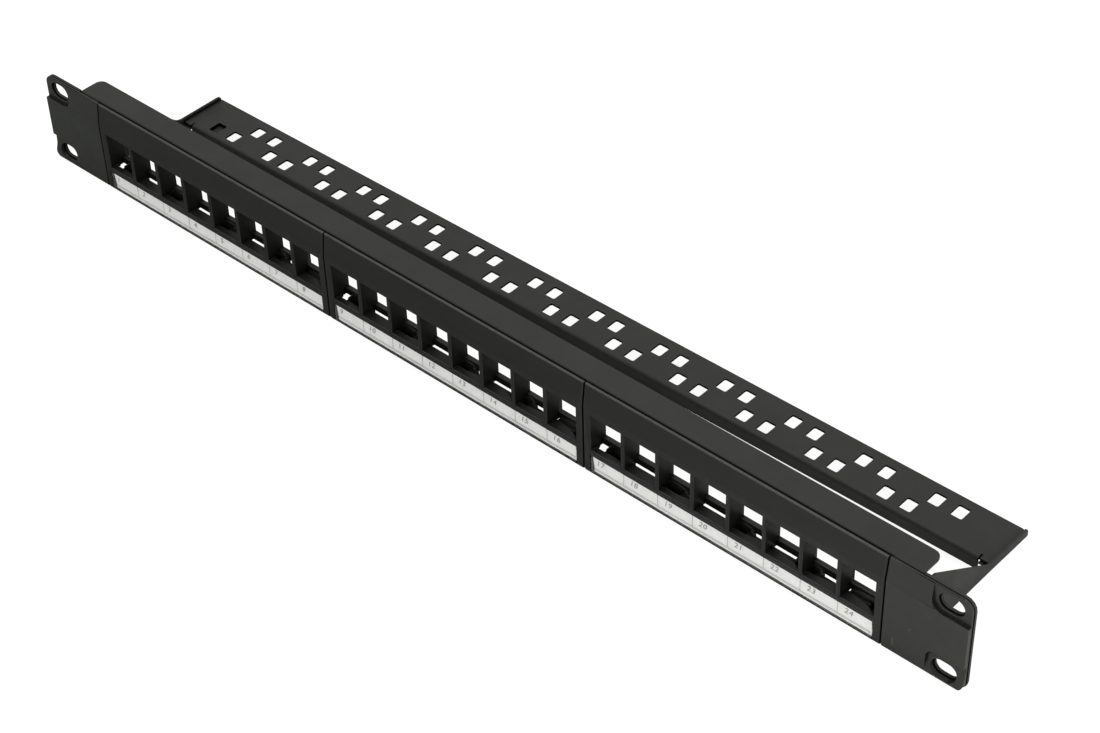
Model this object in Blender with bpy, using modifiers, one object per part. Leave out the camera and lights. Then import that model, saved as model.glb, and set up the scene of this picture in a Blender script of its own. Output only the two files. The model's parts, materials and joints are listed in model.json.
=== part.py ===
"""Unloaded 24-port keystone patch panel, 19 inch rack, one rack unit.

A folded steel frame with two rack ears carries three plastic bezels of eight
jack openings each, two plastic caps over the ears, a paper label strip behind
a clear cover on every bezel, and a perforated cable tray held behind the panel
on two steel side arms.

+X is to the right seen from the front, +Y is to the rear, +Z is up. The scene
is in metres, its origin at the centre of the panel's front face. Dimensions
are in millimetres, with depths counted from the plane where the ears meet the
rack posts, 3.8 mm behind the origin. Everything hangs on an empty placed there.
"""
import math

import bmesh
import bpy
from mathutils import Matrix, Vector

MM = 0.001
LEFT, RIGHT = -1, 1
SIDES = ((LEFT, "left"), (RIGHT, "right"))

# ---------------------------------------------------------------- shared dimensions
PANEL_W = 482.6                 # over the rack ears
PANEL_H = 43.6                  # one rack unit less the usual clearance
RACK_SLOT_X = 465.1 / 2         # half the hole spacing across
RACK_SLOT_Z = 31.75 / 2         # half the hole spacing in height
GAP = 0.3                       # air kept between neighbouring pieces

FRONT_Y = -3.8                  # upright face of bezels and caps
BACK_Y = -1.5                   # rear of their face plates
TOP_Z = 21.7
BOTTOM_Z = -21.4
KINK_Z = 11.5                   # above this line the face leans back
LEAN_Y = -2.5                   # where the leaning face ends at the top

MODULE_PITCH = 137.5
MODULE_SHIFT = 0.35             # the row of bezels sits this far to the right
MODULE_X = [k * MODULE_PITCH + MODULE_SHIFT for k in (-1, 0, 1)]

SCREW_X = 210.2                 # screws that hold the side arms
SCREW_Z = (4.5, -11.0)
SCREW_HOLE_R = 1.8              # in cap bosses and arm tabs
BOSS_R = 3.0

CUT_FRONT_Y = -9.0              # cutting tools start here, clear of every face
CUT_REAR_Y = 3.0                # and end here, clear of the caps

# ---------------------------------------------------------------- scene setup
for old in list(bpy.data.objects):
    bpy.data.objects.remove(old, do_unlink=True)


def collection(name):
    group = bpy.data.collections.new(name)
    bpy.context.scene.collection.children.link(group)
    return group


PANEL = collection("patch_panel")
CUTTERS = collection("cutters")

rack_plane = bpy.data.objects.new("rack_plane", None)
rack_plane.location = (0.0, -FRONT_Y * MM, 0.0)
PANEL.objects.link(rack_plane)


def material(name, colour, roughness, metallic=0.0, alpha=1.0):
    made = bpy.data.materials.new(name)
    made.use_nodes = True
    inputs = made.node_tree.nodes["Principled BSDF"].inputs
    inputs["Base Color"].default_value = (*colour, 1.0)
    inputs["Roughness"].default_value = roughness
    inputs["Metallic"].default_value = metallic
    inputs["Alpha"].default_value = alpha
    made.diffuse_color = (*colour, alpha)
    return made


STEEL = material("black_powder_coat", colour=(0.022, 0.022, 0.021), roughness=0.48)
PLASTIC = material("black_abs", colour=(0.026, 0.026, 0.024), roughness=0.42)
PAPER = material("label_paper", colour=(0.74, 0.74, 0.70), roughness=0.8)
CLEAR = material("clear_cover", colour=(0.9, 0.9, 0.9), roughness=0.12, alpha=0.25)
ZINC = material("zinc_screw", colour=(0.55, 0.55, 0.53), roughness=0.35, metallic=1.0)


# ---------------------------------------------------------------- outlines
def rect(u0, v0, u1, v1):
    return [(u0, v0), (u1, v0), (u1, v1), (u0, v1)]


def rounded(points, radii, steps=4):
    """Replace the corners of a polygon by arcs, of one radius or one for each."""
    count = len(points)
    if not hasattr(radii, "__len__"):
        radii = [radii] * count
    out = []
    for i, (corner, radius) in enumerate(zip(points, radii)):
        if radius <= 0:
            out.append(corner)
            continue
        before = Vector(points[i - 1]) - Vector(corner)
        after = Vector(points[(i + 1) % count]) - Vector(corner)
        before.normalize()
        after.normalize()
        half = before.angle(after) / 2
        reach = radius / math.tan(half)
        centre = Vector(corner) + (before + after).normalized() * (radius / math.sin(half))
        start = Vector(corner) + before * reach - centre
        end = Vector(corner) + after * reach - centre
        start_angle = math.atan2(start.y, start.x)
        turn = math.atan2(start.x * end.y - start.y * end.x, start.dot(end))
        for k in range(steps + 1):
            angle = start_angle + turn * k / steps
            out.append((centre.x + radius * math.cos(angle), centre.y + radius * math.sin(angle)))
    return out


def obround(centre_u, centre_v, length, height, steps=10):
    """A slot with round ends, lying along the first axis."""
    radius = height / 2
    offset = length / 2 - radius
    out = []
    for side in (1, -1):
        for k in range(steps + 1):
            angle = math.pi * (k / steps - 0.5)
            out.append((centre_u + side * (offset + radius * math.cos(angle)),
                        centre_v + side * radius * math.sin(angle)))
    return out


def circle(centre_u, centre_v, radius, steps=20):
    return [(centre_u + radius * math.cos(2 * math.pi * k / steps),
             centre_v + radius * math.sin(2 * math.pi * k / steps)) for k in range(steps)]


def bend_arc(centre_y, centre_z, radius):
    """Quarter arc in side view, from the top of the bend to its front."""
    angles = [math.radians(90 + 18 * k) for k in range(6)]
    return [(centre_y + radius * math.cos(angle), centre_z + radius * math.sin(angle))
            for angle in angles]


def mirrored(points, side):
    """An outline drawn for the right side, flipped across for the left."""
    return [(side * u, v) for u, v in points]


# ---------------------------------------------------------------- meshes
# how an outline lies in the panel: turn of its two axes, axis its depth is counted along
PLANES = {
    "XZ": (Matrix(((1, 0, 0), (0, 0, -1), (0, 1, 0))), Vector((0, 1, 0))),
    "YZ": (Matrix(((0, 0, 1), (1, 0, 0), (0, 1, 0))), Vector((1, 0, 0))),
    "XY": (Matrix.Identity(3), Vector((0, 0, 1))),
}


def mesh_from(name, shell):
    mesh = bpy.data.meshes.new(name)
    shell.to_mesh(mesh)
    shell.free()
    return mesh


def outline_mesh(name, loops, low, high, plane):
    """A flat outline with its holes, from low to high across its plane."""
    curve = bpy.data.curves.new(name, "CURVE")
    curve.dimensions = "2D"
    curve.fill_mode = "BOTH"
    curve.extrude = (high - low) / 2 * MM
    for loop in loops:
        spline = curve.splines.new("POLY")
        spline.points.add(len(loop) - 1)
        for point, (u, v) in zip(spline.points, loop):
            point.co = (u * MM, v * MM, 0.0, 1.0)
        spline.use_cyclic_u = True
    flat = bpy.data.objects.new(name + "_outline", curve)
    CUTTERS.objects.link(flat)
    bpy.context.view_layer.update()
    evaluated = flat.evaluated_get(bpy.context.evaluated_depsgraph_get())
    mesh = bpy.data.meshes.new_from_object(evaluated)
    mesh.name = name
    bpy.data.objects.remove(flat, do_unlink=True)

    turn, depth_axis = PLANES[plane]
    mesh.transform(Matrix.Translation(depth_axis * ((low + high) / 2 * MM)) @ turn.to_4x4())
    # the curve's caps and sides come apart, so weld them
    shell = bmesh.new()
    shell.from_mesh(mesh)
    bmesh.ops.remove_doubles(shell, verts=shell.verts, dist=1e-7)
    bmesh.ops.recalc_face_normals(shell, faces=shell.faces)
    shell.to_mesh(mesh)
    shell.free()
    return mesh


def box_mesh(name, boxes):
    """One mesh of plain boxes, each given by its low and high corner."""
    shell = bmesh.new()
    for (x0, y0, z0), (x1, y1, z1) in boxes:
        made = bmesh.ops.create_cube(shell, size=1.0)
        size = Matrix.Diagonal(((x1 - x0) * MM, (y1 - y0) * MM, (z1 - z0) * MM, 1.0))
        place = Matrix.Translation(
            ((x0 + x1) / 2 * MM, (y0 + y1) / 2 * MM, (z0 + z1) / 2 * MM))
        bmesh.ops.transform(shell, matrix=place @ size, verts=made["verts"])
    return mesh_from(name, shell)


def rod_mesh(name, radius, y0, y1, x, z, steps=20):
    """A round bar along Y."""
    shell = bmesh.new()
    made = bmesh.ops.create_cone(shell, cap_ends=True, segments=steps, radius1=radius * MM,
                                 radius2=radius * MM, depth=(y1 - y0) * MM)
    lay = Matrix.Rotation(math.radians(90), 4, "X")
    place = Matrix.Translation((x * MM, (y0 + y1) / 2 * MM, z * MM))
    bmesh.ops.transform(shell, matrix=place @ lay, verts=made["verts"])
    return mesh_from(name, shell)


def joined(name, meshes):
    """Several meshes that don't touch, as one."""
    shell = bmesh.new()
    for mesh in meshes:
        shell.from_mesh(mesh)
    return mesh_from(name, shell)


# ---------------------------------------------------------------- objects
def add_object(name, mesh, group, location, rotation, parent):
    obj = bpy.data.objects.new(name, mesh)
    obj.location = [v * MM for v in location]
    obj.rotation_euler = rotation
    obj.parent = parent
    group.objects.link(obj)
    return obj


def part(name, mesh, mat, location=(0, 0, 0), rotation=(0, 0, 0)):
    mesh.materials.clear()
    mesh.materials.append(mat)
    return add_object(name, mesh, PANEL, location, rotation, rack_plane)


def cutter(name, mesh, location=(0, 0, 0), rotation=(0, 0, 0), parent=rack_plane):
    """A helper body for booleans, not rendered."""
    obj = add_object(name, mesh, CUTTERS, location, rotation, parent)
    obj.hide_render = True
    obj.display_type = "WIRE"
    return obj


def outline_part(name, loops, low, high, plane, mat):
    return part(name, outline_mesh(name, loops, low, high, plane), mat)


def outline_cutter(name, loops, low, high, plane):
    return cutter(name, outline_mesh(name, loops, low, high, plane))


def boolean(obj, other, operation):
    mod = obj.modifiers.new(operation.lower() + "_" + other.name, "BOOLEAN")
    mod.operation = operation
    mod.solver = "EXACT"
    mod.object = other


def finish(obj, angle=30):
    """Smooth shading, with edges over the angle kept sharp."""
    obj.data.shade_smooth()
    obj.data.set_sharp_from_angle(angle=math.radians(angle))


# ---------------------------------------------------------------- steel frame
STEEL_T = 1.2
EAR_R = 4.6
STEEL_SLOT = (9.6, 6.4)         # rack slot, length and height
BEND_R = 1.45                   # outer radius of the folded edges
BEND_TAIL = 0.8                 # how far a bend runs on into face and return
RETURN_START_Y = 0.4            # returns start inside the bend
RELIEF = 0.4                    # gap between a return and the ear beside it
TOP_RETURN_X = (-218.7, 219.8)
TOP_RETURN_Y = 10.6             # rear edge
TOP_RETURN_R = 3.4              # rear corners
LOW_RETURN_X = (-205.0, 205.0)
LOW_RETURN_Y = 8.0
LOW_RETURN_R = 2.0
WINDOW_HALF = 67.15             # opening in the steel for one bezel
WINDOW_Z = (-15.0, 10.0)
WINDOW_R = 0.6

HALF_W, HALF_H = PANEL_W / 2, PANEL_H / 2
FOLD_Z = HALF_H - BEND_R        # the face stops here along the folds


def bend_outline(sign):
    """Quarter bend joining the face to a return, sign 1 at the top, -1 below."""
    centre_y = BEND_R - STEEL_T
    points = bend_arc(centre_y, FOLD_Z, BEND_R)
    points += [(-STEEL_T, FOLD_Z - BEND_TAIL), (0.0, FOLD_Z - BEND_TAIL)]
    points += bend_arc(centre_y, FOLD_Z, BEND_R - STEEL_T)[::-1]
    points += [(centre_y + BEND_TAIL, HALF_H - STEEL_T), (centre_y + BEND_TAIL, HALF_H)]
    return [(y, sign * z) for y, z in points]


def return_outline(ends, rear, radius, steps):
    return rounded(rect(ends[0], RETURN_START_Y, ends[1], rear), [0, 0, radius, radius], steps)


def build_frame():
    top_left, top_right = TOP_RETURN_X[0] - RELIEF, TOP_RETURN_X[1] + RELIEF
    low_left, low_right = LOW_RETURN_X[0] - RELIEF, LOW_RETURN_X[1] + RELIEF
    face = rounded(
        [(-HALF_W, -HALF_H), (low_left, -HALF_H), (low_left, -FOLD_Z), (low_right, -FOLD_Z),
         (low_right, -HALF_H), (HALF_W, -HALF_H),
         (HALF_W, HALF_H), (top_right, HALF_H), (top_right, FOLD_Z), (top_left, FOLD_Z),
         (top_left, HALF_H), (-HALF_W, HALF_H)],
        [EAR_R, 0, 0, 0, 0, EAR_R, EAR_R, 0, 0, 0, 0, EAR_R])
    holes = [rounded(rect(x - WINDOW_HALF, WINDOW_Z[0], x + WINDOW_HALF, WINDOW_Z[1]),
                     WINDOW_R, 2) for x in MODULE_X]
    for side, _ in SIDES:
        holes += [obround(side * RACK_SLOT_X, sign * RACK_SLOT_Z, *STEEL_SLOT)
                  for sign in (-1, 1)]
        holes += [circle(side * SCREW_X, z, BOSS_R + GAP) for z in SCREW_Z]
    frame = outline_part("front_frame", [face] + holes, -STEEL_T, 0.0, "XZ", STEEL)

    top_return = return_outline(TOP_RETURN_X, TOP_RETURN_Y, TOP_RETURN_R, 5)
    low_return = return_outline(LOW_RETURN_X, LOW_RETURN_Y, LOW_RETURN_R, 3)
    for name, outline, low, high, plane in (
            ("top_bend", bend_outline(1), *TOP_RETURN_X, "YZ"),
            ("top_return", top_return, HALF_H - STEEL_T, HALF_H, "XY"),
            ("low_bend", bend_outline(-1), *LOW_RETURN_X, "YZ"),
            ("low_return", low_return, -HALF_H, -HALF_H + STEEL_T, "XY")):
        boolean(frame, outline_cutter(name, [outline], low, high, plane), "UNION")
    finish(frame)


# ---------------------------------------------------------------- face profile
FACE_LOW_R = 1.8                # front lower edge
FACE_REAR_R = 0.3               # rear lower edge
KINK_R = 2.5


def face_profile(top_radius, back):
    """Side view of a bezel or cap: upright, leaning back above the kink."""
    corners = [(FRONT_Y, BOTTOM_Z), (BACK_Y, BOTTOM_Z)] + back
    corners += [(LEAN_Y, TOP_Z), (FRONT_Y, KINK_Z)]
    radii = [FACE_LOW_R, FACE_REAR_R] + [0] * len(back) + [top_radius, KINK_R]
    return rounded(corners, radii, 4)


# ---------------------------------------------------------------- ear caps
CAP_INNER = {LEFT: 206.0, RIGHT: 206.8}     # edge beside the first and the last bezel
CAP_OUTER = 241.0
CAP_SLOT = (10.8, 7.6)          # clearance round the rack slot
CAP_TOP_R = 0.25
CAP_LOW_CORNER_R = 4.5          # outer corners seen from the front
CAP_TOP_CORNER_R = 4.2
TRIM_INWARD = 5.0               # the trimming outline clears the inner edge by this
TRIM_Z = 0.05                   # and the top and bottom by this

HOLLOW_X = 225.3                # inner edge of the two hollows in a cap
HOLLOW_OUT_X = 250.0            # hollow tools end here, clear of the cap
HOLLOW_OUT_Z = 30.0
UP_HOLLOW_Z = 10.5              # lower edge of the upper hollow
UP_HOLLOW_Y = -2.3              # its floor
UP_HOLLOW_R = 4.6
LOW_HOLLOW_Z = -9.0             # upper edge of the lower hollow
LOW_HOLLOW_R = 4.0
LOW_HOLLOW_RISE_X = (200.0, 260.0)
# side view of the lower hollow, whose floor comes forward towards the bottom: y, z
LOW_HOLLOW_RISE = [(-12.0, 0.0), (-12.0, -19.6), (-4.2, -19.6), (-2.75, -14.5),
                   (-2.4, -9.5), (-2.4, 0.0)]
BOSS_Y = (BACK_Y - 0.6, 0.0)
PILOT_Y = (-3.0, 2.0)


def build_cap(side, tag):
    ends = sorted((side * CAP_INNER[side], side * CAP_OUTER))
    cap = outline_part("ear_cap_" + tag, [face_profile(CAP_TOP_R, [(BACK_Y, TOP_Z)])],
                       *ends, "YZ", PLASTIC)

    trim = rounded(rect(CAP_INNER[side] - TRIM_INWARD, BOTTOM_Z - TRIM_Z,
                        CAP_OUTER, TOP_Z + TRIM_Z),
                   [0, CAP_LOW_CORNER_R, CAP_TOP_CORNER_R, 0], 6)
    boolean(cap, outline_cutter("cap_outline_" + tag, [mirrored(trim, side)],
                                CUT_FRONT_Y, CUT_REAR_Y, "XZ"), "INTERSECT")

    low = rounded(rect(HOLLOW_X, -HOLLOW_OUT_Z, HOLLOW_OUT_X, LOW_HOLLOW_Z),
                  [0, 0, 0, LOW_HOLLOW_R], 6)
    low_hollow = outline_cutter("hollow_low_" + tag, [mirrored(low, side)],
                                CUT_FRONT_Y, 0.0, "XZ")
    rise_ends = sorted(side * x for x in LOW_HOLLOW_RISE_X)
    boolean(low_hollow, outline_cutter("hollow_rise_" + tag, [LOW_HOLLOW_RISE],
                                       *rise_ends, "YZ"), "INTERSECT")
    boolean(cap, low_hollow, "DIFFERENCE")

    up = rounded(rect(HOLLOW_X, UP_HOLLOW_Z, HOLLOW_OUT_X, HOLLOW_OUT_Z),
                 [UP_HOLLOW_R, 0, 0, 0], 6)
    boolean(cap, outline_cutter("hollows_" + tag, [mirrored(up, side)],
                                CUT_FRONT_Y, UP_HOLLOW_Y, "XZ"), "DIFFERENCE")

    bosses = [rod_mesh("boss", BOSS_R, *BOSS_Y, side * SCREW_X, z) for z in SCREW_Z]
    boolean(cap, cutter("bosses_" + tag, joined("bosses_" + tag, bosses)), "UNION")

    holes = [outline_mesh("slot", [obround(side * RACK_SLOT_X, sign * RACK_SLOT_Z, *CAP_SLOT)],
                          CUT_FRONT_Y, CUT_REAR_Y, "XZ") for sign in (-1, 1)]
    holes += [rod_mesh("pilot", SCREW_HOLE_R, *PILOT_Y, side * SCREW_X, z, 16) for z in SCREW_Z]
    boolean(cap, cutter("cap_holes_" + tag, joined("cap_holes_" + tag, holes)), "DIFFERENCE")
    finish(cap)


# ---------------------------------------------------------------- bezel modules
MODULE_W = 136.9
MODULE_TOP_R = 0.3
# rear of the face plate, its top edge clear of the fold of the frame: y, z
MODULE_BACK = [(BACK_Y, 19.2), (-1.75, 20.4), (-1.75, TOP_Z)]

PORTS = 8
PORT_PITCH = 16.5
PORT_W = 14.8
PORT_TOP = 8.0
PORT_FLOOR = -9.2
PORT_EASE = 0.28                # eased edge round each opening
EASE_AHEAD, EASE_BEHIND = 0.4, 0.5  # how far the easing tool reaches past the face
FLOOR_Y = 1.1                   # rear edge of the floor shelf
BAR_Y = 3.3                     # front of the rear cross bar
BAR_TOP = -7.3
SLOT_LOW = -18.0                # the cut between shelf and bar ends below the tunnel
PORT_CUT_REAR_Y = 9.0
PORT_LEFT = [-(PORTS - 1) * PORT_PITCH / 2 - PORT_W / 2 + PORT_PITCH * i for i in range(PORTS)]

TUNNEL_Y = 5.2                  # rear of the block behind the face plate
TUNNEL_TOP = 9.7
TUNNEL_LOW = -10.6
WALL = 1.7                      # outer side walls of the block
TUNNEL_HALF = -PORT_LEFT[0] + WALL

# snap legs under the floor: port and distance from its left edge, for both ends
LEGS = [((0, 4.7), (0, 15.4)), ((2, -0.9), (2, 8.9)), ((4, -1.0), (4, 6.6)),
        ((5, 10.0), (6, 4.6)), ((7, 0.9), (7, 15.6))]
LEG_LOW = -14.7
LEG_TOP = -9.6
LEG_Y = (BACK_Y - 0.5, TUNNEL_Y - 0.9)
# hollows in the legs, open at the top: port, left and right end from its left edge
POCKETS = [(0, 5.4, 13.9), (2, 0.35, 7.6), (4, 0.35, 5.4),
           (5, 11.2, 14.4), (6, 0.35, 3.4), (7, 10.6, 14.3)]
POCKET_Y = (-0.7, BAR_Y - 0.6)
POCKET_LOW = LEG_LOW + 1.2
POCKET_TOP = -8.0
# notch in the floor shelf beside the first leg: low and high corner
NOTCH = ((PORT_LEFT[0] + 0.6, -0.8, -12.0), (PORT_LEFT[0] + 4.5, FLOOR_Y + 0.3, POCKET_TOP))
# upstands on the floor at the two end legs: port, left and right end, top
RIBS = [(0, 4.7, 5.6, -8.2), (7, 13.2, 15.4, -6.0)]
RIB_Y = (-0.2, BAR_Y + 0.5)
RIB_LOW = -10.2

LABEL_HALF = 65.3               # recess for label and cover
LABEL_TOP = -11.5
LABEL_LOW = -19.95
LABEL_FLOOR = -2.35
COVER_T = 0.6
PAPER_T = 0.25
PAPER_INSET = (0.35, 0.25)      # across and in height


def eased_mouth(x):
    """Tool that widens one opening at 45 degrees towards the front face."""
    shell = bmesh.new()
    made = bmesh.ops.create_cube(shell, size=1.0)
    for vert in made["verts"]:
        front = vert.co.y < 0
        grow = PORT_EASE + EASE_AHEAD if front else PORT_EASE - EASE_BEHIND
        vert.co.x = (x + PORT_W + grow if vert.co.x > 0 else x - grow) * MM
        vert.co.z = (PORT_TOP + grow if vert.co.z > 0 else PORT_FLOOR - grow) * MM
        vert.co.y = (FRONT_Y - EASE_AHEAD if front else FRONT_Y + EASE_BEHIND) * MM
    return mesh_from("mouth", shell)


def ports_mesh():
    """Openings that run over the floor shelf, a slot behind it and the rear bar."""
    profile = [(CUT_FRONT_Y, PORT_FLOOR), (FLOOR_Y, PORT_FLOOR), (FLOOR_Y, SLOT_LOW),
               (BAR_Y, SLOT_LOW), (BAR_Y, BAR_TOP), (PORT_CUT_REAR_Y, BAR_TOP),
               (PORT_CUT_REAR_Y, PORT_TOP), (CUT_FRONT_Y, PORT_TOP)]
    return joined("ports", [outline_mesh("port", [profile], x, x + PORT_W, "YZ")
                            for x in PORT_LEFT])


def legs_mesh():
    return box_mesh("legs", [
        ((PORT_LEFT[first] + start, LEG_Y[0], LEG_LOW), (PORT_LEFT[last] + end, LEG_Y[1], LEG_TOP))
        for (first, start), (last, end) in LEGS])


def ribs_mesh():
    return box_mesh("ribs", [
        ((PORT_LEFT[port] + start, RIB_Y[0], RIB_LOW), (PORT_LEFT[port] + end, RIB_Y[1], top))
        for port, start, end, top in RIBS])


def pockets_mesh():
    return box_mesh("pockets", [NOTCH] + [
        ((PORT_LEFT[port] + start, POCKET_Y[0], POCKET_LOW),
         (PORT_LEFT[port] + end, POCKET_Y[1], POCKET_TOP))
        for port, start, end in POCKETS])


def label_box(name, y0, y1, inset_x=0.0, inset_z=0.0):
    """A box over the label field, from y0 to y1."""
    return box_mesh(name, [((-LABEL_HALF + inset_x, y0, LABEL_LOW + inset_z),
                            (LABEL_HALF - inset_x, y1, LABEL_TOP - inset_z))])


def build_bezels():
    body = outline_mesh("bezel_body", [face_profile(MODULE_TOP_R, MODULE_BACK)],
                        -MODULE_W / 2, MODULE_W / 2, "YZ")
    tunnel = box_mesh("tunnel", [((-TUNNEL_HALF, BACK_Y - 0.4, TUNNEL_LOW),
                                  (TUNNEL_HALF, TUNNEL_Y, TUNNEL_TOP))])
    steps = (
        ("tunnel", tunnel, "UNION"),
        ("mouths", joined("mouths", [eased_mouth(x) for x in PORT_LEFT]), "DIFFERENCE"),
        ("ports", ports_mesh(), "DIFFERENCE"),
        ("legs", legs_mesh(), "UNION"),
        ("ribs", ribs_mesh(), "UNION"),
        ("pockets", pockets_mesh(), "DIFFERENCE"),
        ("label_recess", label_box("label_recess", CUT_FRONT_Y, LABEL_FLOOR), "DIFFERENCE"),
    )
    paper_rear = LABEL_FLOOR - GAP
    paper = label_box("label_strip", paper_rear - PAPER_T, paper_rear, *PAPER_INSET)
    cover = label_box("label_cover", FRONT_Y, FRONT_Y + COVER_T, GAP, GAP)

    for number, x in enumerate(MODULE_X, 1):
        place = (x, 0, 0)
        tag = "_%d" % number
        bezel = part("bezel_module" + tag, body.copy(), PLASTIC, place)
        for name, mesh, operation in steps:
            boolean(bezel, cutter(name + tag, mesh, place), operation)
        finish(bezel)
        part("label_strip" + tag, paper.copy(), PAPER, place)
        part("label_cover" + tag, cover.copy(), CLEAR, place)


# ---------------------------------------------------------------- side arms and tray
ARM_T = 1.0                     # side arm sheet
ARM_X = {LEFT: 214.2, RIGHT: 217.3}         # outer face of each arm
ARM_TOP = 10.3
ARM_LOW = -17.9                 # lower edge at the frame
ARM_FLAT_Y = 11.0               # top edge runs level to here, then slopes down
ARM_TOE_Y = {LEFT: 43.8, RIGHT: 46.3}       # where the slope ends
ARM_WALL = 1.5                  # height of the arm above the tray surface
ARM_OVERLAP = 0.5               # tab and foot reach this far into the arm's sheet
TAB_INNER = 207.4               # front tab, screwed to the cap
TAB_Z = (-16.6, 9.2)
FOOT_INNER = 194.8
FOOT_Y = (48.5, 69.4)
FOOT_FRONT = 46.6

TRAY_T = 1.0
TRAY_TOP = -15.8
TRAY_Y = (47.1, 69.9)
# it fills the space between the two arms, which are not quite even
TRAY_X = (ARM_X[RIGHT] - ARM_X[LEFT]) / 2
TRAY_HALF = (ARM_X[RIGHT] + ARM_X[LEFT]) / 2 - ARM_T - GAP
TRAY_LIFT = 1.45                # right end this much up, left end down
TRAY_SWING = 0.95               # right end this much back, left end forward
LIP_HALF = 209.6
LIP_LOW = -21.7
LIP_R = 1.6                     # outer radius of the bend above the lip
LIP_TAIL = 0.9                  # how far the bend runs on into the tray
HOLE = (5.1, 6.3)
HOLE_R = 0.7
HOLE_CUT = 1.0                  # the hole tool passes the sheet by this, each way
PAIRS = 12
PAIR_PITCH = 33.06              # from one pair of holes to the next
PAIR_SPACING = 10.43            # within a pair
FIRST_HOLE_X = -199.05          # from the middle of the tray
HOLE_ROWS = [(FIRST_HOLE_X, 53.6), (FIRST_HOLE_X + PAIR_PITCH / 2, 62.5)]   # first x, y

# half outline of a screw, its underside at height 0: radius, height
SCREW_PROFILE = [(0.0, 2.0), (1.1, 1.95), (2.1, 1.6), (2.65, 0.9), (2.8, 0.2), (2.8, 0.0),
                 (1.5, 0.0), (1.5, -4.1), (1.1, -4.5), (0.0, -4.5)]
CROSS_LONG, CROSS_NARROW = 1.7, 0.32        # half sizes of the cross recess
CROSS_HEIGHT = (0.9, 3.0)       # floor of the recess, top of the tool


def build_arm(side, tag):
    outer = ARM_X[side]
    swing = side * TRAY_SWING
    tray_end = TRAY_TOP + side * TRAY_LIFT          # tray surface at this end
    foot_z = tray_end - TRAY_T - GAP - ARM_T
    rear = TRAY_Y[1] + swing
    web = rounded(
        [(GAP, ARM_LOW), (FOOT_FRONT + swing - 0.2, foot_z), (rear, foot_z),
         (rear, tray_end + ARM_WALL), (ARM_TOE_Y[side], tray_end + ARM_WALL),
         (ARM_FLAT_Y, ARM_TOP), (GAP, ARM_TOP)],
        [0, 0, 0.6, 1.6, 6.0, 3.0, 0], 4)
    arm = outline_part("side_arm_" + tag, [web],
                       *sorted((side * (outer - ARM_T), side * outer)), "YZ", STEEL)

    tab_left, tab_right = sorted((side * TAB_INNER, side * (outer - ARM_OVERLAP)))
    tab = [rounded(rect(tab_left, TAB_Z[0], tab_right, TAB_Z[1]), 1.2, 3)]
    tab += [circle(side * SCREW_X, z, SCREW_HOLE_R, 16) for z in SCREW_Z]
    boolean(arm, outline_cutter("arm_tab_" + tag, tab, GAP, GAP + ARM_T, "XZ"), "UNION")

    # the foot reaches forward beside the end of the lip
    beside_lip = LIP_HALF + 0.6 + side * TRAY_X
    front, foot_rear = FOOT_Y[0] + swing, FOOT_Y[1] + swing
    foot_outer = outer - ARM_OVERLAP
    foot = rounded(
        [(FOOT_INNER, front), (beside_lip, front), (beside_lip, FOOT_FRONT + swing),
         (foot_outer, FOOT_FRONT + swing), (foot_outer, foot_rear), (FOOT_INNER, foot_rear)],
        [1.5, 0.5, 0, 0, 1.5, 1.5], 3)
    boolean(arm, outline_cutter("arm_foot_" + tag, [mirrored(foot, side)],
                                foot_z, foot_z + ARM_T, "XY"), "UNION")
    finish(arm)


def build_screw(side, tag, z):
    """Pan head screw with its head to the rear, turned about its own axis."""
    name = "arm_screw_" + tag
    shell = bmesh.new()
    verts = [shell.verts.new((radius * MM, 0.0, height * MM)) for radius, height in SCREW_PROFILE]
    for start, end in zip(verts, verts[1:]):
        shell.edges.new((start, end))
    place = (side * SCREW_X, GAP * 2 + ARM_T, z)
    rotation = (math.radians(-90), 0, 0)
    screw = part(name, mesh_from(name, shell), ZINC, place, rotation)
    spin = screw.modifiers.new("turned", "SCREW")
    spin.axis = "Z"
    spin.steps = spin.render_steps = 16
    spin.use_merge_vertices = True
    spin.merge_threshold = 0.00001

    low, high = CROSS_HEIGHT
    blades = ((CROSS_LONG, CROSS_NARROW), (CROSS_NARROW, CROSS_LONG))
    for number, (half_x, half_y) in enumerate(blades):
        blade = box_mesh("cross", [((-half_x, -half_y, low), (half_x, half_y, high))])
        boolean(screw, cutter("drive_%s_%d" % (tag, number), blade, place, rotation),
                "DIFFERENCE")
    finish(screw, 40)


def lip_outline():
    """Side view of the bend and lip along the tray's front edge."""
    centre_y, centre_z = TRAY_Y[0] + LIP_R, TRAY_TOP - LIP_R
    points = [(centre_y + LIP_TAIL, TRAY_TOP)]
    points += bend_arc(centre_y, centre_z, LIP_R)
    points += [(TRAY_Y[0], LIP_LOW), (TRAY_Y[0] + TRAY_T, LIP_LOW)]
    points += bend_arc(centre_y, centre_z, LIP_R - TRAY_T)[::-1]
    points += [(centre_y + LIP_TAIL, TRAY_TOP - TRAY_T)]
    return points


def tray_holes_mesh():
    holes = []
    for row_x, y in HOLE_ROWS:
        for pair in range(PAIRS):
            for second in (0, 1):
                x = row_x + pair * PAIR_PITCH + second * PAIR_SPACING
                outline = rounded(rect(x - HOLE[0] / 2, y - HOLE[1] / 2,
                                       x + HOLE[0] / 2, y + HOLE[1] / 2), HOLE_R, 3)
                holes.append(outline_mesh("hole", [outline], TRAY_TOP - TRAY_T - HOLE_CUT,
                                          TRAY_TOP + HOLE_CUT, "XY"))
    return joined("tray_holes", holes)


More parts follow.
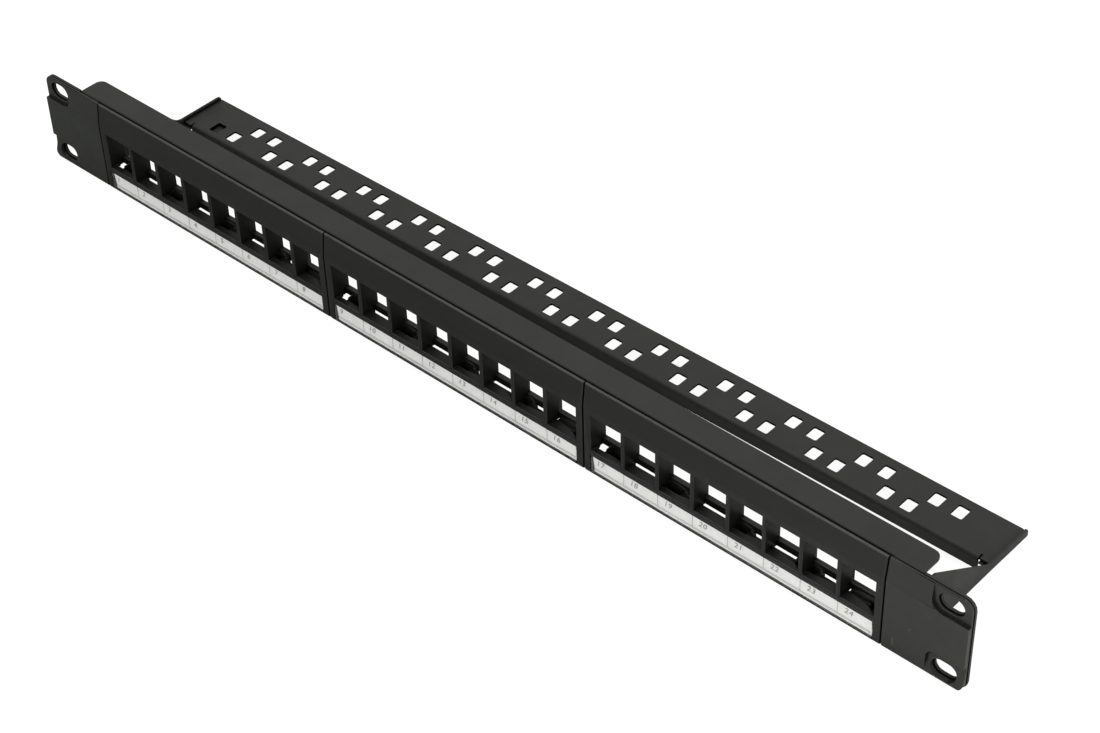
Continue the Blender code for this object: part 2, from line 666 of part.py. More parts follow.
def build_tray():
    # a narrow notch at each end of the lip parts it from the tray's front corners
    front, rear = TRAY_Y[0] + 0.4, TRAY_Y[1]
    lip_join, notch_rear = TRAY_Y[0] + 2.0, TRAY_Y[0] + 2.6
    notch_outer = LIP_HALF + 0.7
    outline = rounded(
        [(-TRAY_HALF, front), (-notch_outer, front), (-notch_outer, notch_rear),
         (-LIP_HALF, notch_rear), (-LIP_HALF, lip_join),
         (LIP_HALF, lip_join), (LIP_HALF, notch_rear), (notch_outer, notch_rear),
         (notch_outer, front), (TRAY_HALF, front), (TRAY_HALF, rear), (-TRAY_HALF, rear)],
        [0.4, 0, 0, 0, 0, 0, 0, 0, 0, 0.4, 0.8, 0.8], 3)
    # the tray hangs a little uneven
    tray = part("cable_tray",
                outline_mesh("cable_tray", [outline], TRAY_TOP - TRAY_T, TRAY_TOP, "XY"),
                STEEL, (TRAY_X, 0, 0),
                (0.0, -math.atan(TRAY_LIFT / TRAY_HALF), math.atan(TRAY_SWING / TRAY_HALF)))
    lip = outline_mesh("tray_lip", [lip_outline()], -LIP_HALF, LIP_HALF, "YZ")
    boolean(tray, cutter("tray_lip", lip, parent=tray), "UNION")
    boolean(tray, cutter("tray_holes", tray_holes_mesh(), parent=tray), "DIFFERENCE")
    finish(tray)


# ---------------------------------------------------------------- build
build_frame()
for side, tag in SIDES:
    build_cap(side, tag)
build_bezels()
for side, tag in SIDES:
    build_arm(side, tag)
    for number, z in enumerate(SCREW_Z, 1):
        build_screw(side, "%s_%d" % (tag, number), z)
build_tray()
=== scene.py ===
"""Looks for a 24-port keystone patch panel: finishes, printed labels, clear covers, studio.

The panel is centred on X and stands upright along Z. Its front faces -Y, with the first
port at -X, and the cable tray lies behind it at +Y. Lengths are in metres.
"""

import json
import math
import random

import bmesh
import bpy
from mathutils import Matrix, Vector
from mathutils.bvhtree import BVHTree

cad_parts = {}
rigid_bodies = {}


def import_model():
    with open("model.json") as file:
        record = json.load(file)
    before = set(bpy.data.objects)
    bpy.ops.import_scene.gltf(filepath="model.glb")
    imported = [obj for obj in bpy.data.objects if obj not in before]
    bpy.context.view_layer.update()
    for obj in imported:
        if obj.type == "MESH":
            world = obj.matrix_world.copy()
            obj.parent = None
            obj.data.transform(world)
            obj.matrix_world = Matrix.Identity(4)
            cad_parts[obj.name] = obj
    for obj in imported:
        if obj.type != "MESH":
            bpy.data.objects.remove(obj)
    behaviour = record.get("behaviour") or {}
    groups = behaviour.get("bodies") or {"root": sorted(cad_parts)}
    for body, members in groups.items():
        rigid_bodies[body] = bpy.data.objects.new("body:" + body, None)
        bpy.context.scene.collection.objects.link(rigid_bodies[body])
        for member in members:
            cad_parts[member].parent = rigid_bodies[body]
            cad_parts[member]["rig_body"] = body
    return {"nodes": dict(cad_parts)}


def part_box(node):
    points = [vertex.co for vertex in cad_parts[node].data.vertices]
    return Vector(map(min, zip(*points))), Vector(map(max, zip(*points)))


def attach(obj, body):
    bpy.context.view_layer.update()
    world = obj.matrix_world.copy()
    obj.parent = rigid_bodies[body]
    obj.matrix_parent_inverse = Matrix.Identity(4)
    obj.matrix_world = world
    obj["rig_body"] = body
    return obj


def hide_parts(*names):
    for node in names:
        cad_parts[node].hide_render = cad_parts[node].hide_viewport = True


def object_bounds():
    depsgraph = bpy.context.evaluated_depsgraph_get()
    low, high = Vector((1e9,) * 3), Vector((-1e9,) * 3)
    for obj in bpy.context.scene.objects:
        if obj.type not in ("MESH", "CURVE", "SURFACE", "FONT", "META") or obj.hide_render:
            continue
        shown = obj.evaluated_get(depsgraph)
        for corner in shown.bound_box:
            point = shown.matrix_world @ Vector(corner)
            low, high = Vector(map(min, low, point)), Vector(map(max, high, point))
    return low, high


MM = 0.001
MODULES = (1, 2, 3)
BEZEL_PITCH = 0.1375    # from one joint between bezels to the next
BEZEL_JOINT_X = -0.0684
PORTS = 8               # per module
PORT_PITCH = 0.0165

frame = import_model()
cad_nodes = frame["nodes"]
cad_lo, cad_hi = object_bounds()
scene = bpy.context.scene


# ---------------------------------------------------------------- node helper
class Nodes:
    """Builds a material's node tree; its methods pass output sockets around."""

    def __init__(self, name):
        self.mat = bpy.data.materials.new(name)
        self.mat.use_nodes = True
        self.tree = self.mat.node_tree
        self.tree.nodes.clear()
        self.out = self.tree.nodes.new("ShaderNodeOutputMaterial")
        self.coord = self.add("TexCoord", output="Object")

    def add(self, kind, inputs=None, output=0, **settings):
        """Adds a node and returns one output. inputs: socket key to a value or an output."""
        node = self.tree.nodes.new("ShaderNode" + kind)
        for key, value in settings.items():
            setattr(node, key, value)
        for key, value in (inputs or {}).items():
            socket = node.inputs[key]
            if isinstance(value, bpy.types.NodeSocket):
                self.tree.links.new(value, socket)
            else:
                socket.default_value = (*value, 1.0) if socket.type == "RGBA" else value
        return node.outputs[output]

    def finish(self, shader):
        self.tree.links.new(shader, self.out.inputs["Surface"])
        return self.mat

    def noise(self, scale, detail=3.0, rough=0.5, stretch=None, warp=0.0):
        place = self.coord
        if stretch:
            place = self.add("Mapping", {"Vector": place, "Scale": stretch})
        return self.add("TexNoise", {"Vector": place, "Scale": scale, "Detail": detail,
                                     "Roughness": rough, "Distortion": warp})

    def spread(self, value, over, to=(0.0, 1.0)):
        """Maps value from the range over to the range to, clamped."""
        return self.add("MapRange", {"From Min": over[0], "From Max": over[1],
                                     "To Min": to[0], "To Max": to[1], "Value": value})

    def maths(self, operation, a, b=0.0):
        return self.add("Math", {0: a, 1: b}, operation=operation)

    def times(self, a, b):
        return self.maths("MULTIPLY", a, b)

    def larger(self, a, b):
        return self.maths("MAXIMUM", a, b)

    def split(self, vector):
        """The X, Y and Z outputs of a vector."""
        return self.add("SeparateXYZ", {"Vector": vector}).node.outputs

    def ramp(self, fac, stops):
        """stops: position to colour, in order."""
        colour = self.add("ValToRGB", {"Fac": fac})
        elements = colour.node.color_ramp.elements
        while len(elements) < len(stops):
            elements.new(0.5)
        for element, (position, stop) in zip(elements, stops.items()):
            element.position = position
            element.color = (*stop, 1.0)
        return colour

    def mix(self, under, amount, colour):
        """Lays colour over under."""
        return self.add("Mix", {"Factor": amount, 6: under, 7: colour}, output=2,
                        data_type="RGBA")

    def mix_shader(self, amount, under, over):
        return self.add("MixShader", {"Fac": amount, 1: under, 2: over})

    def rounded_normal(self, radius):
        return self.add("Bevel", {"Radius": radius}, samples=6)

    def bump(self, heights, edge=0.0):
        """heights: (output, depth) pairs, laid over each other on edges rounded by edge."""
        normal = self.rounded_normal(edge) if edge else None
        for height, depth in heights:
            inputs = {"Strength": 1.0, "Distance": depth, "Height": height}
            if normal:
                inputs["Normal"] = normal
            normal = self.add("Bump", inputs)
        return normal

    def edges(self, radius):
        """1 on a sharp edge, 0 on open faces."""
        rounded = self.rounded_normal(radius)
        flat = self.add("NewGeometry", output="Normal")
        same = self.add("VectorMath", {0: rounded, 1: flat}, output="Value",
                        operation="DOT_PRODUCT")
        return self.spread(same, over=(0.99, 0.80))

    def open_air(self, near=0.0012, wide=0.010):
        """Painted shade from ambient occlusion: 1 on open faces, falling towards 0 in grooves
        and corners.
        """
        parts = []
        for reach, over, darkest in ((near, (0.50, 0.95), 0.05), (wide, (0.25, 0.85), 0.30)):
            light = self.add("AmbientOcclusion", {"Distance": reach}, output="AO", samples=5)
            parts.append(self.spread(light, over, to=(darkest, 1.0)))
        return self.times(*parts)

    def surface(self, colour, roughness, normal=None, metallic=0.0, painted_ao=None, specular=None):
        """The occlusion factor and specular go together: where the factor is low, colour and
        shine fade out as painted shade.
        """
        inputs = {}
        if painted_ao is not None:
            # painted shade: the colour darkens to near black where the occlusion factor is low
            colour = self.mix((0.0016, 0.0017, 0.0015), painted_ao, colour)
            inputs["Specular IOR Level"] = self.times(painted_ao, specular)
        inputs.update({"Base Color": colour, "Roughness": roughness, "Metallic": metallic})
        if normal:
            inputs["Normal"] = normal
        return self.finish(self.add("BsdfPrincipled", inputs))


# ---------------------------------------------------------------- materials
def fold_shade(n):
    """Painted shade: dark on the fold just behind the top edge of the bezels, where the bezels
    shade it; 1 elsewhere.
    """
    place = n.split(n.coord)
    side = n.spread(n.maths("ABSOLUTE", place["X"]), over=(0.2070, 0.2075))
    low = n.spread(place["Z"], over=(0.0150, 0.0160), to=(1.0, 0.0))
    outside = n.larger(side, low)
    return n.larger(outside, n.spread(place["Y"], over=(0.0029, 0.0036), to=(0.04, 1.0)))


def slot_shade(n):
    """Painted shade: dark on the cut walls of the tie slots in the tray, where shade falls; 1
    on the flat faces.
    """
    place = n.split(n.coord)
    facing = n.split(n.add("NewGeometry", output="True Normal"))
    flat = n.spread(n.maths("ABSOLUTE", facing["Z"]), over=(0.35, 0.75))
    side = n.spread(n.maths("ABSOLUTE", place["X"]), over=(0.2050, 0.2055))
    front = n.spread(place["Y"], over=(0.0534, 0.0538), to=(1.0, 0.0))
    back = n.spread(place["Y"], over=(0.0718, 0.0722))
    outside = n.larger(n.larger(flat, side), n.larger(front, back))
    return n.spread(outside, over=(0.0, 1.0), to=(0.10, 1.0))


def powder_coat(name="powder_coat_black", shade=None):
    """shade: a function that adds nodes for an area of painted shade."""
    n = Nodes(name)
    grain = n.noise(scale=2600, detail=2, rough=0.55)
    peel = n.noise(scale=620, detail=2, rough=0.4)
    base = n.ramp(n.noise(scale=38, detail=4, rough=0.6),
                  {0.30: (0.0105, 0.0114, 0.0088), 0.70: (0.0148, 0.0158, 0.0126)})
    speck = n.spread(grain, over=(0.62, 0.74), to=(0.0, 0.35))
    base = n.mix(base, speck, colour=(0.025, 0.026, 0.023))
    patches = n.edges(radius=0.00045), n.spread(n.noise(scale=260, rough=0.6),
                                                over=(0.42, 0.66), to=(0.1, 0.75))
    wear = 0.55
    base = n.mix(base, n.times(n.times(*patches), wear), colour=(0.070, 0.070, 0.064))
    rough = n.spread(n.noise(scale=90, rough=0.6), over=(0.3, 0.7), to=(0.44, 0.56))
    # painted shade in grooves and corners, times any band of painted shade from shade
    painted_ao = n.open_air(near=0.0010, wide=0.006)
    if shade:
        painted_ao = n.times(painted_ao, shade(n))
    normal = n.bump([(grain, 0.000022), (peel, 0.00003)], edge=0.0002)
    return n.surface(base, rough, normal, painted_ao=painted_ao, specular=0.34)


def scratch(n, x, z_low, z_high, lean):
    """1 along a thin upright line on the front face that leans as it rises."""
    width_fade = (0.00010, 0.00022)
    end_fade = 0.0006
    place = n.split(n.coord)
    across = n.maths("ADD", place["X"], n.times(place["Z"], lean))
    across = n.maths("ABSOLUTE", n.maths("SUBTRACT", across, x))
    line = n.spread(across, over=width_fade, to=(1.0, 0.0))
    line = n.times(line, n.spread(place["Z"], over=(z_low, z_low + end_fade)))
    line = n.times(line, n.spread(place["Z"], over=(z_high - end_fade, z_high), to=(1.0, 0.0)))
    broken = n.spread(n.noise(scale=1800, rough=0.6), over=(0.35, 0.6), to=(0.15, 0.75))
    return n.times(line, broken)


def moulded_plastic(name="abs_black", tone=1.0, edge=0.00018, scratches=(), shine=0.42,
                    wear=0.5, painted_highlight_strips=False):
    """The last flag, for a bezel, adds painted highlights: its top edge and ends painted
    lighter where their rounded edges catch the light.
    """
    def toned(*colour):
        return tuple(channel * tone for channel in colour)

    n = Nodes(name)
    grain = n.noise(scale=3400, detail=2)
    flow = n.noise(scale=46, rough=0.55, stretch=(1.0, 1.0, 3.0))
    base = n.ramp(flow, {0.28: toned(0.0120, 0.0128, 0.0100),
                         0.72: toned(0.0160, 0.0172, 0.0136)})
    dust = n.spread(n.noise(scale=1500, detail=4, rough=0.7), over=(0.66, 0.80), to=(0.0, 0.30))
    base = n.mix(base, dust, colour=(0.06, 0.06, 0.056))
    scuff = n.noise(scale=300, detail=5, rough=0.7, stretch=(0.12, 1.0, 1.7), warp=0.6)
    scuff = n.times(n.spread(scuff, over=(0.69, 0.76), to=(0.0, 0.35)),
                    n.spread(n.noise(scale=30, detail=2), over=(0.5, 0.6)))
    base = n.mix(base, scuff, colour=(0.07, 0.07, 0.066))
    # edges painted lighter: partly edge wear, partly painted highlight where rounded edges
    # catch the light, strongest on the bezels
    worn_and_highlit_edges = n.times(n.edges(radius=edge * 1.6), wear)
    base = n.mix(base, worn_and_highlit_edges, colour=(0.100, 0.102, 0.094))
    for line in scratches:
        base = n.mix(base, scratch(n, *line), colour=(0.12, 0.12, 0.115))
    rough = n.spread(n.noise(scale=150, detail=4, rough=0.6), over=(0.3, 0.7), to=(0.36, 0.50))
    # painted shade in grooves and corners
    painted_ao = n.open_air()
    if painted_highlight_strips:
        # painted highlight: a strip along the top edge and narrow strips at the bezel ends
        place = n.split(n.coord)
        top = n.spread(place["Z"], over=(0.0212, 0.0214))
        top = n.times(top, n.spread(n.noise(scale=420, rough=0.6),
                                    over=(0.3, 0.6), to=(0.7, 1.0)))
        # distance to the nearest joint between bezels
        joint = n.maths("PINGPONG", n.maths("ADD", place["X"], -BEZEL_JOINT_X),
                        BEZEL_PITCH / 2)
        ends = n.spread(joint, over=(0.0007, 0.0011), to=(0.35, 0.0))
        # the colour of the painted highlight strips
        base = n.mix(base, n.larger(top, ends), colour=(0.046, 0.049, 0.040))
        # painted light: the painted shade is lifted on the top strip
        top_strip_lift = 0.9
        painted_ao = n.larger(painted_ao, n.times(top, top_strip_lift))
    dents = n.noise(scale=260, detail=2, rough=0.4)
    normal = n.bump([(grain, 0.00001), (dents, 0.000012)], edge)
    return n.surface(base, rough, normal, painted_ao=painted_ao, specular=shine)


def paper():
    n = Nodes("label_paper_white")
    fibre = n.noise(scale=1500, detail=5, rough=0.65)
    tone = n.ramp(n.noise(scale=140), {0.3: (0.90, 0.90, 0.885), 0.7: (0.95, 0.95, 0.94)})
    amount = n.spread(fibre, over=(0.35, 0.75), to=(0.0, 0.16))
    tone = n.mix(tone, amount, colour=(0.76, 0.76, 0.75))
    normal = n.bump([(fibre, 0.00001), (n.noise(scale=230, detail=2), 0.00004)])
    return n.surface(tone, roughness=0.72, normal=normal)


def ink(name, value):
    n = Nodes(name)
    tone = n.ramp(n.noise(scale=2600, rough=0.6),
                  {0.35: (value, value, value * 0.98), 0.75: (value * 2.1,) * 3})
    return n.surface(tone, roughness=0.65)


def clear_plastic():
    n = Nodes("cover_clear")
    ripple = n.noise(scale=90, detail=2, rough=0.45, stretch=(0.35, 1.0, 1.0))
    haze = n.spread(n.noise(scale=420, detail=4, rough=0.6), over=(0.4, 0.75), to=(0.02, 0.07))
    normal = n.bump([(ripple, 0.00002), (n.noise(scale=900, detail=2), 0.000002)])
    clear = n.add("BsdfTransparent", {"Color": (0.985, 0.986, 0.982)})
    gloss = n.add("BsdfGlossy", {"Roughness": 0.12, "Color": (1, 1, 1), "Normal": normal})
    veil = n.add("BsdfDiffuse", {"Color": (0.85, 0.85, 0.84)})
    fresnel = n.add("Fresnel", {"IOR": 1.46, "Normal": normal})
    hazy = n.mix_shader(haze, clear, veil)
    # the sheet only mirrors on the way in: light leaves it unbent
    backface = n.add("NewGeometry", output="Backfacing")
    mirror = n.times(fresnel, n.maths("SUBTRACT", 1.0, backface))
    return n.finish(n.mix_shader(mirror, hazy, gloss))


def zinc():
    n = Nodes("zinc_plate")
    tone = n.ramp(n.noise(scale=700, detail=4, rough=0.6),
                  {0.3: (0.46, 0.46, 0.43), 0.7: (0.62, 0.61, 0.57)})
    rough = n.spread(n.noise(scale=1500, rough=0.6), over=(0.3, 0.7), to=(0.22, 0.40))
    normal = n.bump([(n.noise(scale=2600, detail=2), 0.000006)], edge=0.0001)
    return n.surface(tone, rough, normal, metallic=1.0)


def backdrop():
    """White studio floor: glows to the camera, so that shadows on it stay faint."""
    n = Nodes("studio_white")
    tone = n.ramp(n.noise(scale=3.0), {0.3: (0.13, 0.13, 0.13), 0.7: (0.15, 0.15, 0.15)})
    seen = n.add("BsdfDiffuse", {"Color": tone})
    glow = n.add("Emission", {"Strength": 0.93})
    both = n.add("AddShader", {0: seen, 1: glow})
    # painted light: the floor as the black finishes mirror it, painted mostly brighter towards
    # the right
    lit = n.ramp(n.spread(n.split(n.coord)["X"], over=(-0.45, 0.35)),
                 {0.0: (0.42, 0.42, 0.41), 0.22: (0.26, 0.27, 0.26), 0.55: (0.27, 0.28, 0.27),
                  0.80: (0.58, 0.59, 0.56), 1.0: (0.80, 0.80, 0.78)})
    dim = n.add("BsdfDiffuse", {"Color": lit})
    to_camera = n.add("LightPath", output="Is Camera Ray")
    return n.finish(n.mix_shader(to_camera, dim, both))


# x where the line crosses z = 0, z of its low and high ends, lean
SCRATCHES = (
    (0.2113, -0.0175, -0.0128, 0.02),
    (0.2206, -0.0062, -0.0041, -0.5),
)

POWDER = powder_coat()
FRAME_POWDER = powder_coat("powder_coat_black_frame", shade=fold_shade)
TRAY_POWDER = powder_coat("powder_coat_black_tray", shade=slot_shade)
PLASTIC = moulded_plastic()
# the bezels: their edges, top edge and ends carry painted highlights
BEZEL_PLASTIC = moulded_plastic("abs_black_bezel", tone=0.66, edge=0.0003, shine=0.30,
                                wear=0.95, painted_highlight_strips=True)
MARKED_PLASTIC = moulded_plastic("abs_black_marked", scratches=SCRATCHES)
PAPER = paper()
INK = ink("label_ink_grey", value=0.16)
INK_LINE = ink("label_ink_line", value=0.24)
CLEAR = clear_plastic()
ZINC = zinc()


# ---------------------------------------------------------------- mesh helpers
def add_object(name, bm, mat, sharp_angle=None):
    """Turns bm into an object, smooth up to sharp_angle in degrees if that is given."""
    mesh = bpy.data.meshes.new(name)
    bm.normal_update()
    bm.to_mesh(mesh)
    bm.free()
    if sharp_angle:
        mesh.shade_smooth()
        mesh.set_sharp_from_angle(angle=math.radians(sharp_angle))
    mesh.materials.append(mat)
    o = bpy.data.objects.new(name, mesh)
    scene.collection.objects.link(o)
    return o


def node_bmesh(node):
    """The welded mesh of a CAD node."""
    bm = bmesh.new()
    bm.from_mesh(cad_nodes[node].data)
    bmesh.ops.remove_doubles(bm, verts=bm.verts, dist=0.000001)
    return bm


def stand_in(node, suffix, bm, mat, sharp_angle):
    """Puts a finer mesh in the place of a CAD node."""
    o = add_object(node + suffix, bm, mat, sharp_angle)
    even = o.modifiers.new("normals", "WEIGHTED_NORMAL")
    even.keep_sharp = True
    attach(o, cad_nodes[node]["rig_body"])
    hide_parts(node)


def refine(node, mat, width, segments=2, first=()):
    """A finer copy of a CAD node: the same solid with rounded edges.

    first: (test on a vertex's place in mm, width, segments), rounded before the rest.
    """
    bm = node_bmesh(node)
    bmesh.ops.dissolve_limit(bm, angle_limit=math.radians(0.6), verts=bm.verts,
                             edges=bm.edges, delimit=set())
    for test, offset, steps in (*first, (lambda p: True, width, segments)):
        chosen = [e for e in bm.edges
                  if len(e.link_faces) == 2 and e.calc_face_angle(0) > math.radians(32)
                  and all(test(v.co / MM) for v in e.verts)]
        if chosen:
            bmesh.ops.bevel(bm, geom=chosen, offset=offset, offset_type="OFFSET",
                            segments=steps, profile=0.5, affect="EDGES", clamp_overlap=False,
                            miter_outer="ARC", loop_slide=True)
    bmesh.ops.remove_doubles(bm, verts=bm.verts, dist=0.0000005)
    bmesh.ops.dissolve_degenerate(bm, dist=0.0000005, edges=bm.edges)
    # flaps: faces with both an open edge and an edge shared by three or more
    flaps = [f for f in bm.faces if any(len(e.link_faces) == 1 for e in f.edges)
             and any(len(e.link_faces) > 2 for e in f.edges)]
    bmesh.ops.delete(bm, geom=flaps, context="FACES")
    stand_in(node, "_fine", bm, mat, sharp_angle=40)


# ---------------------------------------------------------------- bezels
END_RADIUS = 0.0006
TOP_RADIUS = 0.0004
END_CUTS = (0.08, 0.30, 0.60, 1.0)   # band edges, as shares of the radius
TOP_CUTS = (0.10, 0.35, 1.0)
EASE_DEPTH = 0.00075                 # the setback fades to nothing this far behind the face
FRONT_ZONE = 0.003                   # vertices further back stay put


def setback(radius, inset):
    """How far a quarter round lies behind the face, at inset from the edge."""
    if inset >= radius:
        return 0.0
    return radius - math.sqrt(radius * radius - (radius - inset) ** 2)


def eased_bezel(node):
    """A bezel whose front face rolls over at both ends and along its top edge.

    The face is cut into narrow bands there, and each is set back along a quarter round.
    """
    lo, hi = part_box(node)
    bm = node_bmesh(node)
    skin = BVHTree.FromBMesh(bm)

    along_x, along_z = Vector((1, 0, 0)), Vector((0, 0, 1))
    cuts = [(along_x * (lo.x + END_RADIUS * k), along_x) for k in END_CUTS]
    cuts += [(along_x * (hi.x - END_RADIUS * k), along_x) for k in END_CUTS]
    cuts += [(along_z * (hi.z - TOP_RADIUS * k), along_z) for k in TOP_CUTS]
    for at, along in cuts:
        bmesh.ops.bisect_plane(bm, geom=bm.verts[:] + bm.edges[:] + bm.faces[:],
                               dist=0.0000002, plane_co=at, plane_no=along)

    for v in bm.verts:
        from_end = max(0.0, min(v.co.x - lo.x, hi.x - v.co.x))
        from_top = max(0.0, hi.z - v.co.z)
        on_flat = from_end >= END_RADIUS and from_top >= TOP_RADIUS
        if on_flat or v.co.y > lo.y + FRONT_ZONE:
            continue
        # find the face in front of the vertex, aiming just inside the outline
        x = min(max(v.co.x, lo.x + 0.0001), hi.x - 0.0001)
        z = min(max(v.co.z, lo.z + 0.00002), hi.z - 0.00002)
        hit = skin.ray_cast(Vector((x, lo.y - 0.005, z)), Vector((0, 1, 0)))[0]
        if hit is None:
            continue
        inside = max(0.0, v.co.y - hit.y)
        back = max(setback(END_RADIUS, from_end), setback(TOP_RADIUS, from_top))
        v.co.y += back * max(0.0, 1.0 - inside / EASE_DEPTH)
    stand_in(node, "_eased", bm, BEZEL_PLASTIC, sharp_angle=30)


# ---------------------------------------------------------------- ear caps
def cap_roundings(side):
    """The wider roundings of an ear cap; side is -1 for left, 1 for right."""
    def beside_bezel(p):
        return side * p.x < 206.9 and p.y < 2.0

    def hollow_rims(p):
        """The front rim of the two hollows round the slots."""
        at_height = 9.5 < p.z < 17 or -16 < p.z < -8.5
        return 224.9 < side * p.x < 240.5 and abs(p.y) < 0.02 and at_height

    return (beside_bezel, 0.00045, 3), (hollow_rims, 0.0005, 3)


refine("front_frame", FRAME_POWDER, width=0.00016)
for arm in ("side_arm_left", "side_arm_right"):
    refine(arm, POWDER, width=0.00018)
refine("cable_tray", TRAY_POWDER, width=0.00012)
for side, cap, mat in ((-1, "ear_cap_left", PLASTIC), (1, "ear_cap_right", MARKED_PLASTIC)):
    refine(cap, mat, width=0.00017, first=cap_roundings(side))
for module in MODULES:
    eased_bezel("bezel_module_%d" % module)
for screw in [name for name in cad_nodes if name.startswith("arm_screw")]:
    refine(screw, ZINC, width=0.00007)


# ---------------------------------------------------------------- labels
SHEET = 0.00012            # paper thickness
PAPER_STEPS_X, PAPER_STEPS_Z = 150, 6
WAVES = ((0.22, 95), (0.14, 230), (0.1, 41))   # share of the room, radians per metre
TRIM_LEFT, TRIM_RIGHT = 0.0012, 0.0009         # how far the ends are out of square

INK_THICK = 0.00003
LINE_GAP = 0.00004         # front of the cell lines to the label strip's front
RULE_LIFT = 0.000012       # the rules lie this far in front of the cell lines
NUMBER_GAP = 0.00005
CELL_LINE_HALF = 0.00011
RULES = ((-0.0180, 0.00010), (-0.0186, 0.00007))   # z, half width
RULE_INSET = 0.0008
NUMBER_Z = -0.0158
NUMBER_SHIFT = 0.0029      # from the left side of the cell


def label_paper(module, lo, hi):
    """A paper strip with a slightly wavy face and trimmed ends."""
    rng = random.Random(40 + module)
    phases = [rng.uniform(0, 6.28) for _ in range(4)]
    room = hi.y - lo.y - SHEET
    bm = bmesh.new()

    def sheet_rows(offset):
        rows = []
        for a in range(PAPER_STEPS_X + 1):
            x = lo.x + (hi.x - lo.x) * a / PAPER_STEPS_X
            wave = 0.5 + sum(share * math.sin(x * rate + phase)
                             for (share, rate), phase in zip(WAVES, phases))
            column = []
            for b in range(PAPER_STEPS_Z + 1):
                rise = b / PAPER_STEPS_Z
                slant = 0.0
                if a == 0:
                    slant = TRIM_LEFT * (1 - rise)
                elif a == PAPER_STEPS_X:
                    slant = -TRIM_RIGHT * rise
                y = lo.y + room * max(0.0, min(1.0, wave + 0.12 * (rise - 0.5)))
                z = lo.z + (hi.z - lo.z) * rise
                column.append(bm.verts.new((x + slant, y + offset, z)))
            rows.append(column)
        return rows

    f, k = sheet_rows(0.0), sheet_rows(SHEET)   # front and back
    right, top = PAPER_STEPS_X, PAPER_STEPS_Z
    for a in range(right):
        for b in range(top):
            bm.faces.new((f[a][b], f[a + 1][b], f[a + 1][b + 1], f[a][b + 1]))
            bm.faces.new((k[a][b + 1], k[a + 1][b + 1], k[a + 1][b], k[a][b]))
    for a in range(right):
        bm.faces.new((f[a + 1][0], f[a][0], k[a][0], k[a + 1][0]))
        bm.faces.new((f[a][top], f[a + 1][top], k[a + 1][top], k[a][top]))
    for b in range(top):
        bm.faces.new((f[0][b], f[0][b + 1], k[0][b + 1], k[0][b]))
        bm.faces.new((f[right][b + 1], f[right][b], k[right][b], k[right][b + 1]))
    o = add_object("label_paper_%d" % module, bm, PAPER, sharp_angle=50)
    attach(o, "label_%d" % module)
    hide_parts("label_strip_%d" % module)


def cell_x(lo, hi, cell):
    """The left side of a port's cell on a label strip; cells count from 0."""
    return (lo.x + hi.x) / 2 + (cell - PORTS / 2) * PORT_PITCH


def ink_bar(bm, x0, x1, z0, z1, y_front):
    outline = ((x0, z0), (x1, z0), (x1, z1), (x0, z1))
    front = [bm.verts.new((x, y_front, z)) for x, z in outline]
    back = [bm.verts.new((x, y_front + INK_THICK, z)) for x, z in outline]
    bm.faces.new(front)
    bm.faces.new(back[::-1])
    for i in range(4):
        j = (i + 1) % 4
        bm.faces.new((front[j], front[i], back[i], back[j]))


def label_lines(module, lo, hi):
    """Printed lines between the cells, and two rules along the strip below them."""
    y_ink = lo.y - LINE_GAP
    bm = bmesh.new()
    for cell in range(1, PORTS):
        x = cell_x(lo, hi, cell)
        ink_bar(bm, x - CELL_LINE_HALF, x + CELL_LINE_HALF, RULES[0][0], hi.z - 0.0001, y_ink)
    for z, half in RULES:
        ink_bar(bm, lo.x + RULE_INSET, hi.x - RULE_INSET, z - half, z + half,
                y_ink - RULE_LIFT)
    bmesh.ops.recalc_face_normals(bm, faces=bm.faces)
    o = add_object("label_lines_%d" % module, bm, INK_LINE)
    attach(o, "label_%d" % module)


def port_number(port):
    module = (port - 1) // PORTS + 1
    lo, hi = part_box("label_strip_%d" % module)
    x = cell_x(lo, hi, (port - 1) % PORTS) + NUMBER_SHIFT
    curve = bpy.data.curves.new("number_%02d" % port, "FONT")
    curve.body = str(port)
    curve.size = 0.0036
    curve.shear = 0.18
    curve.space_character = 1.12
    curve.extrude = 0.000012
    holder = bpy.data.objects.new("number_src", curve)
    scene.collection.objects.link(holder)
    bpy.context.view_layer.update()
    depsgraph = bpy.context.evaluated_depsgraph_get()
    mesh = bpy.data.meshes.new_from_object(holder.evaluated_get(depsgraph))
    bpy.data.objects.remove(holder, do_unlink=True)
    # text lies flat in XY: stand it up to face the front
    mesh.transform(Matrix.Translation((x, lo.y - NUMBER_GAP, NUMBER_Z))
                   @ Matrix.Rotation(math.radians(90), 4, "X"))
    mesh.name = "port_number_%02d" % port
    mesh.materials.clear()
    mesh.materials.append(INK)
    o = bpy.data.objects.new(mesh.name, mesh)
    scene.collection.objects.link(o)
    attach(o, "label_%d" % module)


for module in MODULES:
    strip_lo, strip_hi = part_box("label_strip_%d" % module)
    label_paper(module, strip_lo, strip_hi)
    label_lines(module, strip_lo, strip_hi)
for port in range(1, len(MODULES) * PORTS + 1):
    port_number(port)
for module in MODULES:
    refine("label_cover_%d" % module, CLEAR, width=0.0002, segments=3)


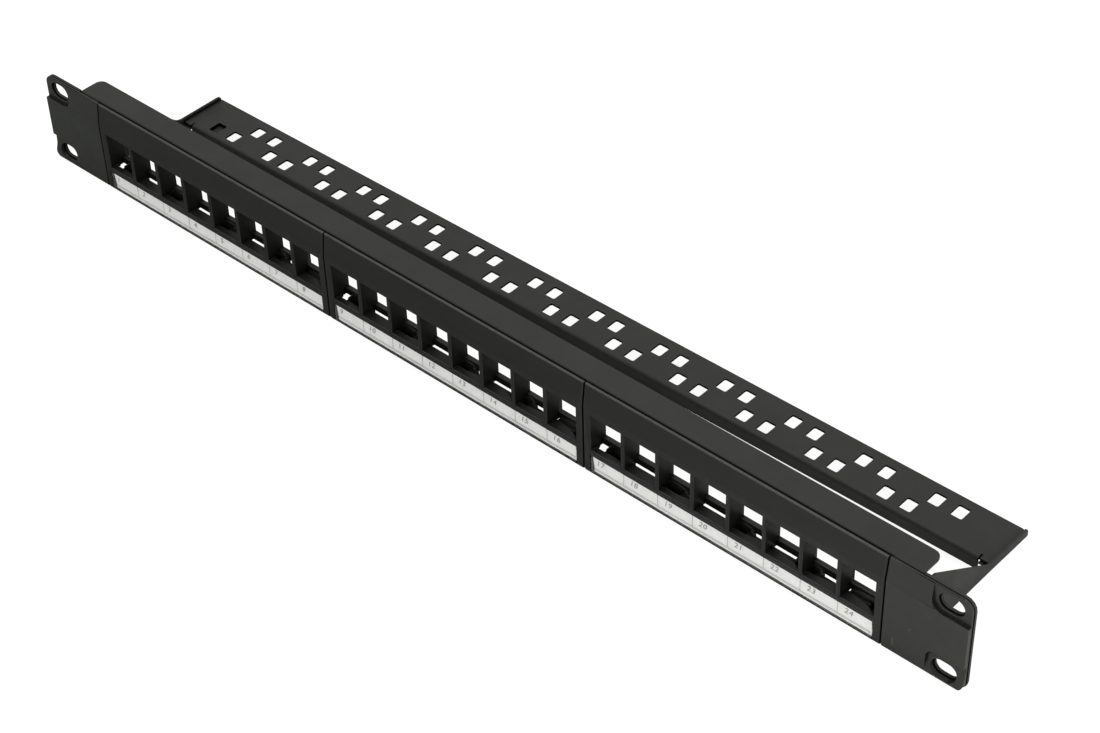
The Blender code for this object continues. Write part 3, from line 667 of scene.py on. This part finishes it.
# ---------------------------------------------------------------- studio
def add_floor():
    bm = bmesh.new()
    bmesh.ops.create_grid(bm, x_segments=4, y_segments=4, size=6.0)
    floor = add_object("floor", bm, backdrop())
    floor.location.z = cad_lo.z - 0.0002   # just clear of the panel


def add_world():
    """White, a little dimmer as a light than as seen by the camera."""
    world = bpy.data.worlds.new("studio")
    scene.world = world
    world.use_nodes = True
    tree = world.node_tree
    background = tree.nodes["Background"]
    background.inputs["Color"].default_value = (1, 1, 1, 1)
    path = tree.nodes.new("ShaderNodeLightPath")
    level = tree.nodes.new("ShaderNodeMapRange")
    level.inputs["To Min"].default_value = 0.74
    level.inputs["To Max"].default_value = 1.0
    tree.links.new(path.outputs["Is Camera Ray"], level.inputs["Value"])
    tree.links.new(level.outputs["Result"], background.inputs["Strength"])


def add_softbox(name, at, target, size, power):
    light = bpy.data.lights.new(name, "AREA")
    light.shape = "RECTANGLE"
    light.size, light.size_y = size
    light.energy = power
    o = bpy.data.objects.new(name, light)
    o.location = at
    o.rotation_mode = "QUATERNION"
    o.rotation_quaternion = (Vector(target) - Vector(at)).to_track_quat("-Z", "Y")
    scene.collection.objects.link(o)


def add_camera():
    lens = bpy.data.cameras.new("camera")
    lens.sensor_width = 36.0
    lens.lens = 81.76
    lens.clip_start, lens.clip_end = 0.01, 50.0
    camera = bpy.data.objects.new("camera", lens)
    scene.collection.objects.link(camera)
    ahead = Vector((-0.51989, 0.54790, -0.65538)).normalized()
    up = Vector((-0.42487, 0.49974, 0.75481)).normalized()
    right = ahead.cross(up).normalized()
    up = right.cross(ahead)
    turn = Matrix((right, up, -ahead)).transposed().to_4x4()
    camera.matrix_world = Matrix.Translation((0.53221, -0.50445, 0.62497)) @ turn
    scene.camera = camera


# name, place, target, size, power in watts
SOFTBOXES = (
    ("softbox_top", (0.1, 0.2, 1.5), (0, 0, 0), (1.8, 1.2), 8),
    ("softbox_front", (0.1, -1.5, 0.9), (0.1, 0, 0), (1.2, 0.8), 12),
    ("softbox_right", (1.6, 0.1, 0.7), (0, 0, 0), (0.8, 1.0), 7),
)

add_floor()
add_world()
for softbox in SOFTBOXES:
    add_softbox(*softbox)
add_camera()
scene.view_settings.view_transform = "Standard"
